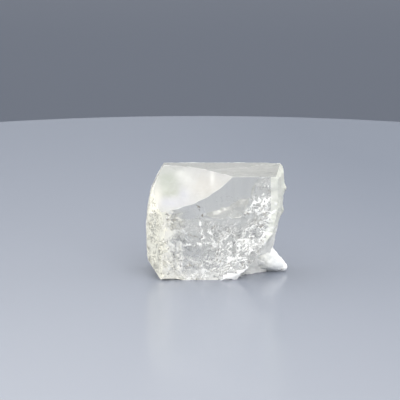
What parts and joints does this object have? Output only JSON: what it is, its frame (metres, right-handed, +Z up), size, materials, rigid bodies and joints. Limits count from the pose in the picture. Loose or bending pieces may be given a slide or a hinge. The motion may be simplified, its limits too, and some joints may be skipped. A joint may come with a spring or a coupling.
{
  "type": "topaz crystal",
  "caption": "Clear, nearly colourless topaz crystal, a flat-topped block with a shell-shaped broken corner, rough ends and a short white stump low on one end.",
  "frame": {"origin": "centre of the bounding box's base, on the cleavage plane that the crystal rests on", "axes": "+X along the crystal towards the end with the white stump, +Y from the front prism face to the back one, +Z up from the base cleavage to the top cleavage"},
  "size_m": [0.026, 0.0136, 0.0192],
  "materials": {
    "clear_topaz": "clear, colourless to very pale champagne, glassy on cleavages and prism faces, satin on the shell-shaped break, rough where hackly",
    "white_topaz": "milky white, waxy, slightly translucent",
    "veil": "silvery healed cracks and tiny bubbles sealed in the crystal",
    "iron_stain": "specks of brown iron stain, dull"
  },
  "bodies": {
    "root": {"topaz_crystal": "clear_topaz"}
  },
  "joints": []
}
